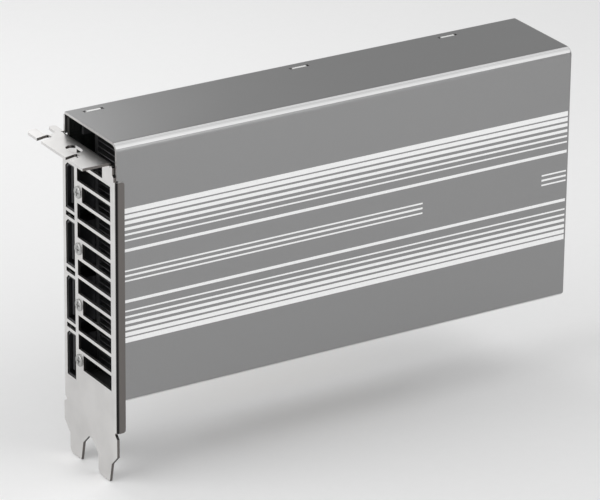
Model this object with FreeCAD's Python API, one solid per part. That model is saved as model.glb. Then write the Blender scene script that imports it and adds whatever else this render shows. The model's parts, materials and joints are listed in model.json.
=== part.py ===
import FreeCAD, Part
import math
import os
from FreeCAD import Vector

# Passive accelerator card: a dual-slot, full-height expansion card cooled by the
# air that the computer's own fans push through its sheet-metal duct.
#
# All sizes are in millimetres. The origin is the centre of the key notch, on the
# board's mid-plane, at the lower edge of the edge connector. +X runs along the card
# away from the slot bracket, +Y is the back (solder) side and +Z is up.

# ---------------------------------------------------------------- driving sizes

# Card and slots
card_height = 111.15        # contact edge to the top of the duct
card_length = 187.8         # bracket's outer face to the duct's far edge
slot_pitch = 20.32          # distance between two neighbouring slots
bracket_reach = 58.2        # notch centre to the bracket's outer face

# Circuit board
board_t = 1.57
board_inset = 0.6           # board edge behind the bracket plate
board_end_inset = 2.4       # board edge inside the duct's far edge
board_top_gap = 0.9         # board edge under the duct's top wall
board_lower_edge = 8.25     # height of the plain lower edge above the contact edge
tongue_before = 12.6        # edge connector, notch centre to the bracket-side end
tongue_after = 72.6         # edge connector, notch centre to the far end
key_width = 1.9
key_depth = 7.4
key_r = 0.85
bevel_height = 1.1          # bevel along the contact edge
bevel_depth = 0.45
hook_gap = 2.0              # retention hook, gap after the connector
hook_toe = 1.9
hook_leg = 3.2
hook_toe_height = 2.2
hook_bottom = 1.4
hook_inner_r = 0.4
hook_outer_r = 1.9

# Edge contacts
contact_pitch = 1.0
contact_width = 0.7
contact_length = 4.3
contact_t = 0.05
contact_from_key = 1.5      # notch centre to the first contact's centre
contacts_before_key = 11
contacts_after_key = 71
contact_edge_gap = 0.25     # plain strip between the bevel and the contacts

# Slot bracket
bracket_height = 120.02
bracket_drop = 16.12        # tongue tips below the contact edge
bracket_width = 37.0        # left edge to the side flange's outer face
bracket_t = 1.0
plate_beyond_board = 1.35   # plate edge behind the board's mid-plane
lower_edge_step = 0.75      # the plate is this much wider below the nib
nib_depth = 1.3
nib_z = 3.3
nib_height = 2.3
tongue_left = -1.93         # edge of the first tongue that faces the back
tongue_shoulder = 9.45      # tongue width where it leaves the plate
tongue_tip = 8.0            # tongue width at its tip
tongue_height = 7.2
tongue_corner_r = 2.2
web_height = 11.4           # plate edge between the two tongues, above the tips
side_flange_reach = 3.5     # side flange, outer face of the plate to its free edge
side_flange_bottom = 4.0
side_flange_top = 97.6
side_flange_corner_r = 1.1
bend_r = 0.4                # inner radius of the bracket's bends
bend_relief = 0.35
shoulder_y = -33.4          # plate edge above the side flange
shoulder_drop = 3.95        # start of the slant, below the bracket's top
shoulder_r = 0.8

# Mounting flange at the bracket's top
flange_reach = 10.5         # outer face of the plate to the free edge
flange_near_end = -31.8
flange_far_end = 8.4
flange_corner_r = 2.2
screw_line = 4.3            # screw centres, out from the plate's outer face
notch_width = 4.4           # open screw notch of the first slot
notch_bottom_y = 1.35
notch_r = 2.0
notch_mouth_r = 0.5
hook_inner_edge = 0.9       # hook edge, in from the plate's outer face
hook_tip_y = 8.1
hook_tip_r = 1.35
screw_slot_y = -14.75
screw_slot_length = 7.4
screw_slot_r = 2.15
side_notch_width = 3.1      # slanted notches in the free edge
side_notch_depth = 5.0
side_notch_slant = 14.0
side_notch_y = -1.25
side_notch_r = 0.9

# Vents and connector openings in the bracket
output_pitch = 21.09        # display outputs
output_count = 4
output_top_z = 85.23        # centre of the uppermost one
vents_per_output = 3
vent_height = 5.8
vent_near_edge = -31.98
vent_far_edge = -8.75
short_vent_far_edge = -12.1
top_vent_height = 4.6
top_vent_near_edge = -26.5
small_slot_height = 1.75

# Display output connectors
shell_height = 5.7          # above the board
shell_length = 16.5         # along Z
shell_depth = 19.0
shell_wall = 0.4
shell_corner_cut = 1.4
shell_mouth_inset = 0.3     # mouth behind the bracket's outer face
shell_clearance = 0.25      # to the opening in the bracket
ear_t = 1.0
ear_width = 6.4
ear_margin = 2.4            # ear material beyond the screw's centre
screw_y = -9.43
blade_t = 1.2
blade_length = 13.4
blade_inset = 1.2           # blade tip behind the mouth
blade_from_board = 1.45     # blade's mid-plane above the board
insert_block_depth = 9.0
insert_fit = 0.05

# Bracket screws
screw_head_r = 2.2
screw_head_h = 0.6
screw_r = 1.2
screw_hole_clearance = 0.25
thread_clearance = 0.05
screw_beyond_ear = 0.8

# Duct, one folded sheet
duct_t = 0.9
duct_depth = 36.85          # front face to back face
duct_bottom = 14.9          # outer face of the bottom wall
front_bend_r = 3.0          # outer radius, top to front
bottom_bend_r = 1.5
lip_bend_r = 1.2
end_bend_r = 1.1
end_lip = 3.2
lip_height = 8.0
lip_gap = 0.53              # board to the duct's rear lip
floor_board_gap = 0.3
floor_output_gap = 0.5
lip_relief_length = 2.2
lip_relief_depth = 0.8
side_bend_gap = 0.15        # front wall's edge to the bracket's side bend
tab_slot_length = 7.8
tab_slot_width = 1.5

# Support frame between the board and the heatsink
frame_t = 1.1
frame_board_gap = 0.95
frame_duct_gap = 0.85       # frame edge to the duct's top and bottom walls
frame_rail = 6.0
frame_start = 22.5          # from the bracket's outer face
frame_arm_start = 6.0
frame_arm_share = 0.4       # share of the height over the upper output that the arm takes
frame_window_gap = 0.7      # window edges to the parts that stand in them
tab_length = 5.6
first_top_tab = 10.25       # from the bracket's outer face
first_bottom_tab = 14.5     # from the frame's left edge
middle_tab_offset = -2.35   # from the processor's centre
last_tab = 12.8             # from the frame's right edge

# Processor
die_x = 26.0
die_z = 21.0
die_t = 0.75
substrate_t = 1.2
thermal_sheet_t = 0.15

# Memory around the processor
memory_long = 14.0
memory_short = 12.0
memory_t = 1.15
memory_gap = 3.5            # processor's carrier to the chips
memory_pitch = 15.2
memory_per_side = 3
memory_bank_gap = 7.6       # chips to the capacitors of either bank
memory_rail_gap = 1.9       # chips to the frame's rails
memory_pad_inset = 1.0

# Power stages, inductors and capacitors in two banks, placed from the frame's outer edges
phase_count = 8
bank_rail_gap = 2.9         # outermost inductors to the frame's rails
stage_from_edge = 2.5
base_posts_from_edge = 6.8
inductor_from_edge = 14.0
capacitor_from_edge = 22.4
stage_x = 4.0
stage_z = 5.5
stage_t = 0.65
stage_pad_inset = 0.3
inductor_side = 7.8
inductor_t = 5.0
inductor_pad_inset = 0.6
capacitor_x = 4.3
capacitor_z = 7.3
capacitor_t = 1.9

# Small chips beside the power sockets: width, height and share of the free height
controller_sites = ((7.0, 7.0, 0.18), (5.0, 6.0, 0.49), (8.0, 5.0, 0.72))
controller_from_edge = 9.4  # centres to the board's far edge
controller_t = 0.9

# Vapour chamber and heatsink
chamber_t = 3.95
chamber_beyond_x = 6.0      # chamber beyond the memory
chamber_beyond_z = 3.75
chamber_rim = 2.4
chamber_rim_t = 1.3
chamber_corner_r = 5.0
post_clear_x = 3.8          # posts to the ends of the memory rows
post_clear_z = 2.6
post_r = 2.5
post_board_gap = 0.1
base_t = 1.8
heatsink_start = 8.2        # from the bracket's outer face
heatsink_end_gap = 3.9      # to the duct's far edge
fin_t = 0.35
fin_pitch = 2.2
fin_duct_gap = 0.3
fin_seam = 0.1

# Posts between the frame and the heatsink's base
base_post_across = 3.4

# Back cover
backplate_t = 0.8
backplate_start = 3.0       # from the bracket's outer face
backplate_end_gap = 2.8     # to the duct's far edge
backplate_bottom = 12.7
backplate_lip_gap = 0.4
backplate_corner = 4.0
window_margin = 5.0         # retention screws to the window's edge
window_corner = 4.0
strip_width = 2.2
strip_edge_gap = 0.6
strip_end_gap = 6.0
lip_strip_width = 0.9
lip_strip_gap = 0.3

# Retention spring behind the processor
retention_pad_side = 24.0
retention_pad_t = 0.5
spring_t = 1.0
spring_arm = 7.0
spring_corner = 2.2
spring_centre = 28.0
spring_opening = 14.0
retention_screw_r = 1.15
retention_head_across = 4.8
retention_head_h = 1.1
retention_hole_clearance = 0.5
spring_hole_clearance = 0.2

# Power sockets at the far end
socket_columns = 4
socket_pitch = 4.2
socket_wall = 0.9
socket_cavity = 3.3
socket_cavity_depth = 10.0
socket_depth = 13.5
socket_inset = 0.7          # mouth inside the duct's far edge
socket_board_gap = 0.3
socket_chamfer = 0.9
socket_top_gap = 9.45       # upper socket to the duct's top wall
socket_spacing = 21.0
plug_room = 0.9             # heatsink's cut-back beyond the sockets
heatsink_pin_gap = 0.5
frame_heatsink_gap = 0.6    # frame's right edge to the heatsink's cut-back
latch_width = 6.0
latch_height = 1.3
latch_length = 2.4
pin_side = 1.1
pin_length = 8.0
pin_fit = 0.05
pin_tail = 1.0              # housing to the inner pins, and inner pins to outer pins

# ---------------------------------------------------------------- derived places

board_front = -board_t / 2
board_back = board_t / 2
plate_outer = -bracket_reach
plate_inner = plate_outer + bracket_t
bracket_bottom = -bracket_drop
bracket_top = bracket_bottom + bracket_height
plate_left = plate_beyond_board
plate_right = plate_left - bracket_width

duct_start = plate_inner
duct_end = plate_outer + card_length
duct_back = board_back + lip_gap + duct_t
duct_front = duct_back - duct_depth
duct_inner_front = duct_front + duct_t
duct_inner_top = card_height - duct_t
duct_inner_bottom = duct_bottom + duct_t
lip_bottom = card_height - lip_height
lip_inner = duct_back - duct_t

board_start = plate_inner + board_inset
board_end = duct_end - board_end_inset
board_top = duct_inner_top - board_top_gap

chamber_back = board_front - substrate_t - die_t - thermal_sheet_t
chamber_front = chamber_back - chamber_t
base_front = chamber_front - base_t
fin_tip = duct_inner_front + fin_duct_gap
fin_bottom = duct_inner_bottom + fin_duct_gap
fin_top = duct_inner_top - fin_duct_gap

frame_back = board_front - frame_board_gap
frame_front = frame_back - frame_t
frame_bottom = duct_inner_bottom + frame_duct_gap
frame_top = duct_inner_top - frame_duct_gap
rail_low = frame_bottom + frame_rail
rail_high = frame_top - frame_rail
row_low = frame_bottom + frame_rail / 2
row_high = frame_top - frame_rail / 2
row_middle = (row_low + row_high) / 2

socket_half = socket_columns * socket_pitch / 2 + socket_wall
socket_mouth = duct_end - socket_inset
socket_rear = socket_mouth - socket_depth
socket_upper = duct_inner_top - socket_top_gap - socket_half
socket_z = (socket_upper, socket_upper - socket_spacing)
socket_zone_low = socket_z[-1] - socket_half - plug_room
socket_zone_high = socket_z[0] + socket_half + plug_room

heatsink_left = plate_outer + heatsink_start
heatsink_right = duct_end - heatsink_end_gap
heatsink_short_right = socket_rear - 2 * (pin_tail + pin_side) - heatsink_pin_gap
frame_left = plate_outer + frame_start
frame_right = heatsink_short_right - frame_heatsink_gap

capacitor_inner_left = frame_left + capacitor_from_edge + capacitor_x / 2
capacitor_inner_right = frame_right - capacitor_from_edge - capacitor_x / 2
gpu_x = (capacitor_inner_left + capacitor_inner_right) / 2
gpu_z = (rail_low + rail_high) / 2
group_x = capacitor_inner_right - capacitor_inner_left - 2 * memory_bank_gap
group_z = rail_high - rail_low - 2 * memory_rail_gap
substrate_x = group_x - 2 * (memory_short + memory_gap)
substrate_z = group_z - 2 * (memory_short + memory_gap)
memory_row_half = (memory_per_side - 1) / 2 * memory_pitch + memory_long / 2
post_offset_x = memory_row_half + post_clear_x + post_r
post_offset_z = memory_row_half + post_clear_z + post_r

top_tab_x = (plate_outer + first_top_tab, gpu_x + middle_tab_offset, frame_right - last_tab)
bottom_tab_x = (frame_left + first_bottom_tab, gpu_x + middle_tab_offset, frame_right - last_tab)

backplate_inner = duct_back - backplate_t
backplate_top = lip_bottom - backplate_lip_gap
backplate_left = plate_outer + backplate_start
backplate_right = duct_end - backplate_end_gap

shell_top = board_front - shell_height
ear_end = screw_y - ear_margin
screw_hole_r = screw_r + screw_hole_clearance
output_z = [output_top_z - output_pitch * i for i in range(output_count)]

column_x = (frame_left + base_posts_from_edge, frame_right - base_posts_from_edge)
base_post_sites = [(x, z) for x in column_x for z in (row_low, row_middle, row_high)]
retention_sites = [
    (gpu_x + sx * post_offset_x, gpu_z + sz * post_offset_z) for sx in (-1, 1) for sz in (-1, 1)
]

# ---------------------------------------------------------------- geometry helpers

touch = 0.000001            # distance under which two points are one


def box(x0, x1, y0, y1, z0, z1):
    """A block between two values on each axis."""
    return Part.makeBox(x1 - x0, y1 - y0, z1 - z0, Vector(x0, y0, z0))


def block_at(x, z, size_x, size_z, y0, y1):
    """A block centred on (x, z), between two heights off the board."""
    return box(x - size_x / 2, x + size_x / 2, y0, y1, z - size_z / 2, z + size_z / 2)


def rod_x(x0, x1, y, z, radius):
    """A round rod along X."""
    return Part.makeCylinder(radius, x1 - x0, Vector(x0, y, z), Vector(1, 0, 0))


def rod_y(x, z, y0, y1, radius):
    """A round rod along Y."""
    return Part.makeCylinder(radius, y1 - y0, Vector(x, y0, z), Vector(0, 1, 0))


def on_x(x):
    """Places outline points (y, z) on the plane at x."""
    return lambda a, b: Vector(x, a, b)


def on_y(y):
    """Places outline points (x, z) on the plane at y."""
    return lambda a, b: Vector(a, y, b)


def on_z(z):
    """Places outline points (x, y) on the plane at z."""
    return lambda a, b: Vector(a, b, z)


def outline(corners, place):
    """Closed wire through (a, b) or (a, b, radius) corners, with an arc at each radius."""
    points = [place(c[0], c[1]) for c in corners]
    count = len(points)
    pieces = []
    for i, corner in enumerate(corners):
        here = points[i]
        radius = corner[2] if len(corner) > 2 else 0.0
        if radius <= 0.0:
            pieces.append((here, here, None))
            continue
        back = (points[i - 1] - here).normalize()
        ahead = (points[(i + 1) % count] - here).normalize()
        half = back.getAngle(ahead) / 2
        run = radius / math.tan(half)
        bisector = (back + ahead).normalize()
        middle = here + bisector * (radius / math.sin(half) - radius)
        pieces.append((here + back * run, here + ahead * run, middle))
    edges = []
    start = pieces[-1][1]
    for enter, leave, middle in pieces:
        if start.distanceToPoint(enter) > touch:
            edges.append(Part.makeLine(start, enter))
        if middle is not None:
            edges.append(Part.Arc(enter, middle, leave).toShape())
        start = leave
    return Part.Wire(edges)


def sheet(wire, thickness_vector, holes=()):
    """A flat sheet from its outline, with its holes cut through."""
    solid = Part.Face(wire).extrude(thickness_vector)
    cutters = [Part.Face(hole).extrude(thickness_vector) for hole in holes]
    if cutters:
        solid = solid.cut(Part.makeCompound(cutters))
    return solid


def rectangle(a0, a1, b0, b1, radius=0.0):
    """The four corners of a rectangle, all with one radius."""
    return [(a0, b0, radius), (a1, b0, radius), (a1, b1, radius), (a0, b1, radius)]


def fused(shapes):
    """One solid from shapes that meet."""
    first, rest = shapes[0], shapes[1:]
    return first.fuse(rest).removeSplitter()


def quarter_bend(centre, inner_r, thickness, quadrant, place, sweep):
    """A quarter ring of bent sheet: its section in one quadrant, swept along the bend."""

    def at(radius, degrees):
        turn = math.radians(90 * quadrant + degrees)
        return place(centre[0] + radius * math.cos(turn), centre[1] + radius * math.sin(turn))

    outer_r = inner_r + thickness
    edges = [
        Part.Arc(at(outer_r, 0), at(outer_r, 45), at(outer_r, 90)).toShape(),
        Part.makeLine(at(outer_r, 90), at(inner_r, 90)),
        Part.Arc(at(inner_r, 90), at(inner_r, 45), at(inner_r, 0)).toShape(),
        Part.makeLine(at(inner_r, 0), at(outer_r, 0)),
    ]
    return Part.Face(Part.Wire(edges)).extrude(sweep)


def hexagon(across, place, a, b):
    """A hexagon centred on (a, b), given by its width across flats."""
    radius = across / math.sqrt(3)
    angles = [math.radians(60 * i) for i in range(6)]
    return outline([(a + radius * math.cos(t), b + radius * math.sin(t)) for t in angles], place)


def hex_rod_y(x, z, y0, y1, across):
    """A hexagonal rod along Y."""
    return Part.Face(hexagon(across, on_y(y0), x, z)).extrude(Vector(0, y1 - y0, 0))


def chamfered(a0, a1, b0, b1, cut):
    """The eight corners of a rectangle with its corners cut off."""
    return [
        (a0 + cut, b0),
        (a1 - cut, b0),
        (a1, b0 + cut),
        (a1, b1 - cut),
        (a1 - cut, b1),
        (a0 + cut, b1),
        (a0, b1 - cut),
        (a0, b0 + cut),
    ]


def export(name, shape):
    """Writes one named piece, or one group of like pieces, as a STEP file."""
    shape.exportStep("parts/" + name + ".step")


# ---------------------------------------------------------------- slot bracket


def bracket_plate():
    """The flat plate with its two tongues, connector openings, slots and vents."""
    bend_line = plate_right + bracket_t + bend_r
    top = bracket_top - bracket_t - bend_r
    shoulder_z = bracket_bottom + tongue_height
    web_z = bracket_bottom + web_height
    lower_left = plate_left + lower_edge_step
    tongue_2 = tongue_left - slot_pitch
    slant_left = lower_left - tongue_left
    web_rise = web_z - shoulder_z
    right_2 = tongue_2 - tongue_shoulder
    corners = [
        (plate_left, top),
        (plate_left, nib_z + nib_height / 2),
        (plate_left - nib_depth, nib_z),
        (lower_left, nib_z - nib_height / 2),
        (lower_left, shoulder_z + slant_left),
        (tongue_left, shoulder_z),
        (tongue_left, bracket_bottom, tongue_corner_r),
        (tongue_left - tongue_tip, bracket_bottom),
        (tongue_left - tongue_shoulder, shoulder_z),
        (tongue_left - tongue_shoulder - web_rise, web_z),
        (tongue_2 + web_rise, web_z),
        (tongue_2, shoulder_z),
        (tongue_2, bracket_bottom, tongue_corner_r),
        (tongue_2 - tongue_tip, bracket_bottom),
        (right_2, shoulder_z),
        (plate_right, shoulder_z + right_2 - plate_right),
        (plate_right, side_flange_bottom - 2 * bend_relief - bend_line + plate_right),
        (bend_line, side_flange_bottom - 2 * bend_relief),
        (bend_line, bracket_top - shoulder_drop - shoulder_y + bend_line),
        (shoulder_y, bracket_top - shoulder_drop),
        (shoulder_y, top + bend_r, shoulder_r),
        (flange_near_end - bend_relief, top + bend_r),
        (flange_near_end - bend_relief, top - bend_relief),
        (flange_near_end, top - bend_relief),
        (flange_near_end, top),
    ]
    place = on_x(plate_outer)
    return sheet(outline(corners, place), Vector(bracket_t, 0, 0), plate_openings(place))


def plate_openings(place):
    """Outlines of every opening in the bracket's plate."""
    holes = []
    low_y = shell_top - shell_clearance
    high_y = board_front + shell_clearance
    half = shell_length / 2 + shell_clearance
    for z in output_z:
        cut = shell_corner_cut
        opening = [(low_y, z - half), (high_y, z - half), (high_y, z + half - cut)]
        opening += [(high_y - cut, z + half), (low_y, z + half)]
        holes.append(outline(opening, place))
        holes.append(Part.Wire(Part.makeCircle(screw_hole_r, place(screw_y, z), Vector(1, 0, 0))))
    for z in output_z[:-1]:
        slot_z = z - output_pitch / 2
        slot = rectangle(low_y, high_y, slot_z - small_slot_height / 2, slot_z + small_slot_height / 2)
        holes.append(outline(slot, place))
    vent_pitch = output_pitch / vents_per_output
    for i in range(output_count * vents_per_output - 1):
        z = output_z[0] + vent_pitch * (1 - i)
        beside_screw = i % vents_per_output == 1
        far = short_vent_far_edge if beside_screw else vent_far_edge
        vent = rectangle(vent_near_edge, far, z - vent_height / 2, z + vent_height / 2)
        holes.append(outline(vent, place))
    top_z = output_z[0] + vent_pitch * 2 - vent_height / 2
    top_vent = rectangle(top_vent_near_edge, vent_far_edge, top_z, top_z + top_vent_height)
    holes.append(outline(top_vent, place))
    return holes


def slanted_notch(y):
    """One slanted notch in the mounting flange's free edge, as a cutter's outline."""
    edge = plate_outer - flange_reach
    lean = math.tan(math.radians(side_notch_slant))
    half = side_notch_width / 2
    outside = edge - bracket_t
    inside = edge + side_notch_depth
    y_out = y - bracket_t * lean
    y_in = y + side_notch_depth * lean
    return [
        (outside, y_out - half),
        (inside, y_in - half, side_notch_r),
        (inside, y_in + half, side_notch_r),
        (outside, y_out + half),
    ]


def mounting_flange():
    """The flat of the top flange with its hook, screw notch, screw slot and side notches."""
    top = bracket_top - bracket_t
    free = plate_outer - flange_reach
    root = plate_outer - bend_r
    notch_x = plate_outer - screw_line
    notch_in = notch_x + notch_width / 2
    notch_out = notch_x - notch_width / 2
    hook_edge = plate_outer + hook_inner_edge
    corners = [
        (root, flange_near_end),
        (free, flange_near_end),
        (free, flange_far_end, flange_corner_r),
        (notch_out, flange_far_end, notch_mouth_r),
        (notch_out, notch_bottom_y, notch_r),
        (notch_in, notch_bottom_y, notch_r),
        (notch_in, hook_tip_y, hook_tip_r),
        (hook_edge, hook_tip_y, hook_tip_r),
        (hook_edge, plate_left + bend_relief),
        (root, plate_left + bend_relief),
    ]
    place = on_z(top)
    slot_half = screw_slot_length / 2
    holes = [outline(slanted_notch(side_notch_y - i * slot_pitch), place) for i in range(2)]
    slot = rectangle(
        notch_out, notch_in, screw_slot_y - slot_half, screw_slot_y + slot_half, screw_slot_r
    )
    holes.append(outline(slot, place))
    return sheet(outline(corners, place), Vector(0, 0, bracket_t), holes)


def side_flange():
    """The flange along the near edge, bent back beside the duct."""
    start = plate_inner + bend_r
    end = plate_outer + side_flange_reach
    corners = [
        (start, side_flange_bottom),
        (end, side_flange_bottom, side_flange_corner_r),
        (end, side_flange_top, side_flange_corner_r),
        (start, side_flange_top),
    ]
    return sheet(outline(corners, on_y(plate_right)), Vector(0, bracket_t, 0))


def make_bracket():
    """The whole bracket: plate, mounting flange, side flange and the two bends."""
    top_centre = (plate_outer - bend_r, bracket_top - bracket_t - bend_r)
    top_sweep = Vector(0, plate_left - flange_near_end, 0)
    top_bend = quarter_bend(top_centre, bend_r, bracket_t, 0, on_y(flange_near_end), top_sweep)
    side_centre = (plate_inner + bend_r, plate_right + bracket_t + bend_r)
    side_sweep = Vector(0, 0, side_flange_top - side_flange_bottom)
    side_bend = quarter_bend(side_centre, bend_r, bracket_t, 2, on_z(side_flange_bottom), side_sweep)
    return fused([bracket_plate(), top_bend, mounting_flange(), side_bend, side_flange()])


def make_bracket_screws():
    """Four flat-headed screws that hold the display outputs to the bracket."""
    screws = []
    tip = plate_inner + ear_t + screw_beyond_ear
    for z in output_z:
        head = rod_x(plate_outer - screw_head_h, plate_outer, screw_y, z, screw_head_r)
        screws.append(head.fuse(rod_x(plate_outer, tip, screw_y, z, screw_r)))
    return Part.makeCompound(screws)


# ---------------------------------------------------------------- display outputs


def shell_profile(z, inset, place):
    """Section of a display output's shell, drawn in by an inset."""
    low = shell_top + inset
    high = board_front - inset
    half = shell_length / 2 - inset
    cut = shell_corner_cut
    corners = [(low, z - half), (high, z - half), (high, z + half - cut)]
    corners += [(high - cut, z + half), (low, z + half)]
    return Part.Face(outline(corners, place))


def make_shell(z):
    """Metal shell of one display output, with its screw ear behind the bracket."""
    mouth = plate_outer + shell_mouth_inset
    outer = shell_profile(z, 0.0, on_x(mouth)).extrude(Vector(shell_depth, 0, 0))
    inner = shell_profile(z, shell_wall, on_x(mouth)).extrude(Vector(shell_depth, 0, 0))
    half = ear_width / 2
    ear_corners = [
        (shell_top + shell_wall / 2, z - half),
        (shell_top + shell_wall / 2, z + half),
        (ear_end, z + half),
        (ear_end, z - half),
    ]
    tapped_r = screw_r + thread_clearance
    ear = sheet(outline(ear_corners, on_x(plate_inner)), Vector(ear_t, 0, 0))
    ear = ear.cut(rod_x(plate_inner, plate_inner + ear_t, screw_y, z, tapped_r))
    return outer.fuse(ear).cut(inner)


def make_insert(z):
    """Insulator and contact blade of one display output."""
    mouth = plate_outer + shell_mouth_inset
    rear = mouth + shell_depth
    front = rear - insert_block_depth
    inset = shell_wall + insert_fit
    block = shell_profile(z, inset, on_x(front)).extrude(Vector(insert_block_depth, 0, 0))
    middle = board_front - blade_from_board
    tip = mouth + blade_inset
    half = blade_length / 2
    lead = blade_t / 4
    section = [
        (front, middle - blade_t / 2),
        (front, middle + blade_t / 2),
        (tip + lead, middle + blade_t / 2),
        (tip, middle + blade_t / 4),
        (tip, middle - blade_t / 4),
        (tip + lead, middle - blade_t / 2),
    ]
    blade = Part.Face(outline(section, on_z(z - half))).extrude(Vector(0, 0, blade_length))
    return fused([block, blade])


# ---------------------------------------------------------------- circuit board


def make_board():
    """The circuit board with its edge connector, key notch and retention hook."""
    hook_start = tongue_after + hook_gap
    leg_start = hook_start + hook_toe
    leg_end = leg_start + hook_leg
    corners = [
        (board_start, board_lower_edge),
        (-tongue_before, board_lower_edge),
        (-tongue_before, 0.0),
        (-key_width / 2, 0.0),
        (-key_width / 2, key_depth, key_r),
        (key_width / 2, key_depth, key_r),
        (key_width / 2, 0.0),
        (tongue_after, 0.0),
        (tongue_after, board_lower_edge, hook_inner_r),
        (leg_start, board_lower_edge, hook_inner_r),
        (leg_start, hook_bottom + hook_toe_height),
        (hook_start, hook_bottom + hook_toe_height),
        (hook_start, hook_bottom),
        (leg_end, hook_bottom, hook_outer_r),
        (leg_end, board_lower_edge),
        (board_end, board_lower_edge),
        (board_end, board_top),
        (board_start, board_top),
    ]
    board = sheet(outline(corners, on_y(board_front)), Vector(0, board_t, 0))
    cutters = []
    for side in (-1, 1):
        face = side * board_t / 2
        wedge = [(face, 0.0), (face, bevel_height), (face - side * bevel_depth, 0.0)]
        section = outline(wedge, on_x(-tongue_before))
        cutters.append(Part.Face(section).extrude(Vector(tongue_before + tongue_after, 0, 0)))
    for x, z in retention_sites:
        cutters.append(rod_y(x, z, board_front, board_back, retention_screw_r + retention_hole_clearance))
    return board.cut(Part.makeCompound(cutters))


def make_contacts():
    """Gold contacts on both faces of the edge connector."""
    low = bevel_height + contact_edge_gap
    places = [-contact_from_key - contact_pitch * i for i in range(contacts_before_key)]
    places += [contact_from_key + contact_pitch * i for i in range(contacts_after_key)]
    pads = []
    for x in places:
        x0 = x - contact_width / 2
        x1 = x + contact_width / 2
        pads.append(box(x0, x1, board_front - contact_t, board_front, low, low + contact_length))
        pads.append(box(x0, x1, board_back, board_back + contact_t, low, low + contact_length))
    return Part.makeCompound(pads)


# ---------------------------------------------------------------- parts on the board


def make_substrate():
    """The processor's carrier."""
    return block_at(gpu_x, gpu_z, substrate_x, substrate_z, board_front - substrate_t, board_front)


def make_die():
    """The processor's bare die."""
    face = board_front - substrate_t
    return block_at(gpu_x, gpu_z, die_x, die_z, face - die_t, face)


def make_thermal_sheet():
    """Soft heat-conducting sheet between the die and the vapour chamber."""
    return block_at(gpu_x, gpu_z, die_x, die_z, chamber_back, chamber_back + thermal_sheet_t)


def memory_sites():
    """Centre, width and height of each memory chip around the processor."""
    reach_x = substrate_x / 2 + memory_gap + memory_short / 2
    reach_z = substrate_z / 2 + memory_gap + memory_short / 2
    sites = []
    for i in range(memory_per_side):
        step = (i - (memory_per_side - 1) / 2) * memory_pitch
        for side in (-1, 1):
            sites.append((gpu_x + side * reach_x, gpu_z + step, memory_short, memory_long))
            sites.append((gpu_x + step, gpu_z + side * reach_z, memory_long, memory_short))
    return sites


def make_memory_chips():
    """Memory chips on three-by-four sides of the processor."""
    y0 = board_front - memory_t
    return Part.makeCompound([block_at(x, z, w, h, y0, board_front) for x, z, w, h in memory_sites()])


def make_memory_pads():
    """Heat-conducting pads from the memory chips to the vapour chamber."""
    shrink = 2 * memory_pad_inset
    y1 = board_front - memory_t
    pads = [block_at(x, z, w - shrink, h - shrink, chamber_back, y1) for x, z, w, h in memory_sites()]
    return Part.makeCompound(pads)


def bank_sites(from_edge):
    """Places of one kind of part in both banks, given by its distance from the frame's edges."""
    pitch = (rail_high - rail_low - 2 * bank_rail_gap - inductor_side) / (phase_count - 1)
    heights = [gpu_z + (i - (phase_count - 1) / 2) * pitch for i in range(phase_count)]
    return [(x, z) for x in (frame_left + from_edge, frame_right - from_edge) for z in heights]


def blocks(sites, size_x, size_z, y0, y1):
    """Equal blocks at several places."""
    return Part.makeCompound([block_at(x, z, size_x, size_z, y0, y1) for x, z in sites])


def make_power_stages():
    """Flat power-stage packages that give their heat to the support frame."""
    return blocks(bank_sites(stage_from_edge), stage_x, stage_z, board_front - stage_t, board_front)


def make_stage_pads():
    """Thin pads between the power stages and the support frame."""
    shrink = 2 * stage_pad_inset
    sites = bank_sites(stage_from_edge)
    return blocks(sites, stage_x - shrink, stage_z - shrink, frame_back, board_front - stage_t)


def make_inductors():
    """Pressed power inductors."""
    sites = bank_sites(inductor_from_edge)
    return blocks(sites, inductor_side, inductor_side, board_front - inductor_t, board_front)


def make_inductor_pads():
    """Pads from the inductors to the heatsink's base."""
    side = inductor_side - 2 * inductor_pad_inset
    return blocks(bank_sites(inductor_from_edge), side, side, chamber_front, board_front - inductor_t)


def make_capacitors():
    """Flat polymer capacitors, one beside each inductor."""
    sites = bank_sites(capacitor_from_edge)
    return blocks(sites, capacitor_x, capacitor_z, board_front - capacitor_t, board_front)


def make_controllers():
    """Flat control and memory packages below the power sockets."""
    y0 = board_front - controller_t
    x = board_end - controller_from_edge
    free = socket_zone_low - duct_inner_bottom
    sites = [(w, h, duct_inner_bottom + share * free) for w, h, share in controller_sites]
    return Part.makeCompound([block_at(x, z, w, h, y0, board_front) for w, h, z in sites])


# ---------------------------------------------------------------- support frame


def make_frame():
    """Sheet frame round the processor and the power supply, with tabs into the duct."""
    arm = plate_outer + frame_arm_start
    arm_low = frame_top - frame_arm_share * (frame_top - output_z[0] - shell_length / 2)
    half = tab_length / 2
    corners = [(frame_left, frame_bottom)]
    for x in bottom_tab_x:
        corners += [(x - half, frame_bottom), (x - half, duct_bottom)]
        corners += [(x + half, duct_bottom), (x + half, frame_bottom)]
    corners += [(frame_right, frame_bottom), (frame_right, frame_top)]
    for x in reversed(top_tab_x):
        corners += [(x + half, frame_top), (x + half, card_height)]
        corners += [(x - half, card_height), (x - half, frame_top)]
    corners += [(arm, frame_top), (arm, arm_low), (frame_left, arm_low)]
    return sheet(outline(corners, on_y(frame_front)), Vector(0, frame_t, 0), frame_windows())


def frame_windows():
    """Windows for the left bank, the processor with its memory, and the right bank."""
    bank_outer = inductor_from_edge - inductor_side / 2 - frame_window_gap
    bank_inner = capacitor_from_edge + capacitor_x / 2 + frame_window_gap
    middle_half = group_x / 2 + frame_window_gap
    spans = [
        (frame_left + bank_outer, frame_left + bank_inner),
        (gpu_x - middle_half, gpu_x + middle_half),
        (frame_right - bank_inner, frame_right - bank_outer),
    ]
    place = on_y(frame_front)
    return [outline(rectangle(a, b, rail_low, rail_high), place) for a, b in spans]


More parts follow.
